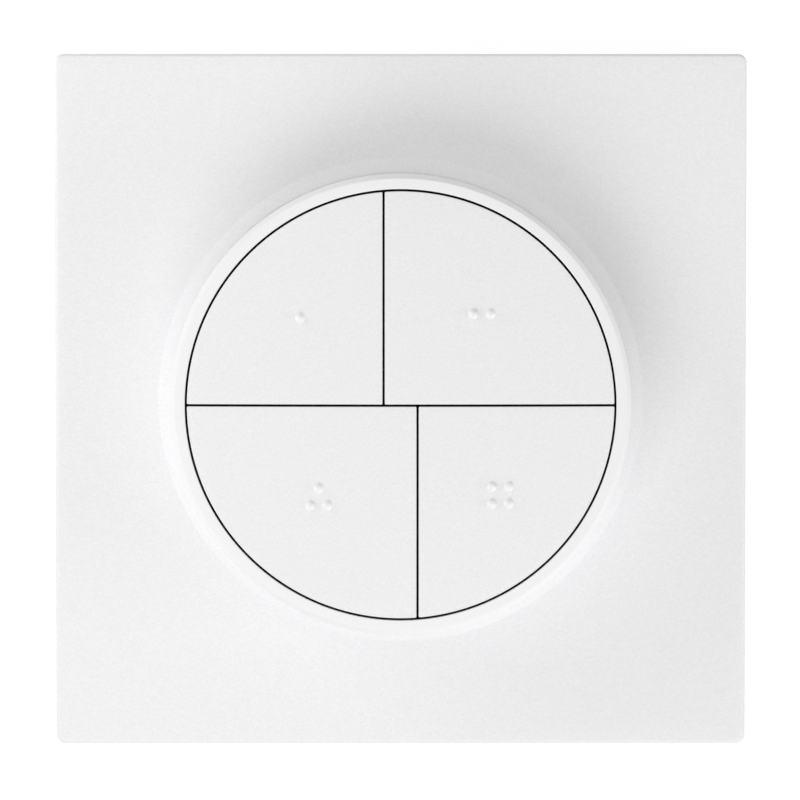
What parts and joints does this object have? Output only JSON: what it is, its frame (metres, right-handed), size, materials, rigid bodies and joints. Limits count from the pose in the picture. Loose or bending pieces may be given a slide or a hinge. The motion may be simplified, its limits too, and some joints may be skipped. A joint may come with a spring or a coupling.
{
  "type": "smart button",
  "caption": "Square wall plate with a lift-off round puck: a turning dial ring around four tilting keys with raised dots, sprung on tact switches.",
  "frame": {"origin": "middle of the plate's back, on the wall", "axes": "+Z out of the wall towards the user, +Y up as mounted, +X to the right seen from the front"},
  "size_m": [0.08, 0.08, 0.0179],
  "materials": {
    "plate_plastic": "fine grain",
    "bracket_plastic": "plain moulded",
    "foam": "soft foam tape",
    "steel": "plated",
    "base_plastic": "plain moulded",
    "foot_rubber": "soft",
    "magnet_nickel": "nickel plated",
    "cell_steel": "nickel plated",
    "contact_metal": "gold flashed",
    "board_laminate": "solder mask",
    "shield_metal": "tinned",
    "chip_plastic": "moulded chip",
    "dark_plastic": "black moulded",
    "glide_plastic": "slippery",
    "encoder_ferrite": "bonded magnet",
    "dial_plastic": "fine grain",
    "key_plastic": "fine grain",
    "plunger_plastic": "plain moulded",
    "setup_plastic": "plain moulded"
  },
  "bodies": {
    "plate": {"wall_plate": "plate_plastic", "mounting_bracket": "bracket_plastic", "adhesive_pads": "foam", "keeper_disc": "steel"},
    "puck": {"base_cup": "base_plastic", "foot_ring": "foot_rubber", "holding_magnets": "magnet_nickel", "case_screws": "steel", "coin_cell": "cell_steel", "positive_contact": "contact_metal", "negative_contact": "contact_metal", "circuit_board": "board_laminate", "radio_module": "shield_metal", "hall_sensors": "chip_plastic", "board_components": "chip_plastic", "switch_bodies": "chip_plastic", "setup_switch": "chip_plastic", "chassis": "dark_plastic", "upper_hinge_rod": "steel", "lower_hinge_rod": "steel", "lower_glide_ring": "glide_plastic", "upper_glide_ring": "glide_plastic"},
    "dial": {"dial_ring": "dial_plastic", "dial_hub": "dark_plastic", "encoder_magnet": "encoder_ferrite"},
    "door": {"battery_door": "base_plastic"},
    "setup": {"setup_button": "setup_plastic"},
    "key_1": {"key_cap_1": "key_plastic", "key_carrier_1": "dark_plastic"},
    "plunger_1": {"switch_plunger_1": "plunger_plastic"},
    "key_2": {"key_cap_2": "key_plastic", "key_carrier_2": "dark_plastic"},
    "plunger_2": {"switch_plunger_2": "plunger_plastic"},
    "key_3": {"key_cap_3": "key_plastic", "key_carrier_3": "dark_plastic"},
    "plunger_3": {"switch_plunger_3": "plunger_plastic"},
    "key_4": {"key_cap_4": "key_plastic", "key_carrier_4": "dark_plastic"},
    "plunger_4": {"switch_plunger_4": "plunger_plastic"}
  },
  "joints": [
    {"name": "puck_lift", "type": "slide", "parent": "plate", "child": "puck", "axis": [0, 0, 1], "range_m": [0, 0.03]},
    {"name": "dial_turn", "type": "hinge", "parent": "puck", "child": "dial", "pos_m": [0, 0, 0.0092], "axis": [0, 0, 1], "continuous": true},
    {"name": "battery_door_twist", "type": "hinge", "parent": "puck", "child": "door", "pos_m": [0, 0, 0.005], "axis": [0, 0, -1], "range_deg": [0, 45]},
    {"name": "setup_press", "type": "slide", "parent": "puck", "child": "setup", "axis": [0, 0, 1], "range_m": [0, 0.0003], "stiffness_N_per_m": 300},
    {"name": "key_1_press", "type": "hinge", "parent": "puck", "child": "key_1", "pos_m": [0, 0.003, 0.0135], "axis": [-1, 0, 0], "range_deg": [0, 1.8], "stiffness_Nm_per_rad": 0.9},
    {"name": "plunger_1_travel", "type": "slide", "parent": "puck", "child": "plunger_1", "axis": [0, 0, -1], "range_m": [0, 0.0003]},
    {"name": "key_2_press", "type": "hinge", "parent": "puck", "child": "key_2", "pos_m": [0, 0.003, 0.0135], "axis": [-1, 0, 0], "range_deg": [0, 1.8], "stiffness_Nm_per_rad": 0.9},
    {"name": "plunger_2_travel", "type": "slide", "parent": "puck", "child": "plunger_2", "axis": [0, 0, -1], "range_m": [0, 0.0003]},
    {"name": "key_3_press", "type": "hinge", "parent": "puck", "child": "key_3", "pos_m": [0, -0.003, 0.0135], "axis": [1, 0, 0], "range_deg": [0, 1.8], "stiffness_Nm_per_rad": 0.9},
    {"name": "plunger_3_travel", "type": "slide", "parent": "puck", "child": "plunger_3", "axis": [0, 0, -1], "range_m": [0, 0.0003]},
    {"name": "key_4_press", "type": "hinge", "parent": "puck", "child": "key_4", "pos_m": [0, -0.003, 0.0135], "axis": [1, 0, 0], "range_deg": [0, 1.8], "stiffness_Nm_per_rad": 0.9},
    {"name": "plunger_4_travel", "type": "slide", "parent": "puck", "child": "plunger_4", "axis": [0, 0, -1], "range_m": [0, 0.0003]}
  ],
  "couplings": [
    {"joint": "plunger_1_travel", "follows": "key_1_press", "m_per_rad": 0.0095},
    {"joint": "plunger_2_travel", "follows": "key_2_press", "m_per_rad": 0.0095},
    {"joint": "plunger_3_travel", "follows": "key_3_press", "m_per_rad": 0.0095},
    {"joint": "plunger_4_travel", "follows": "key_4_press", "m_per_rad": 0.0095}
  ]
}
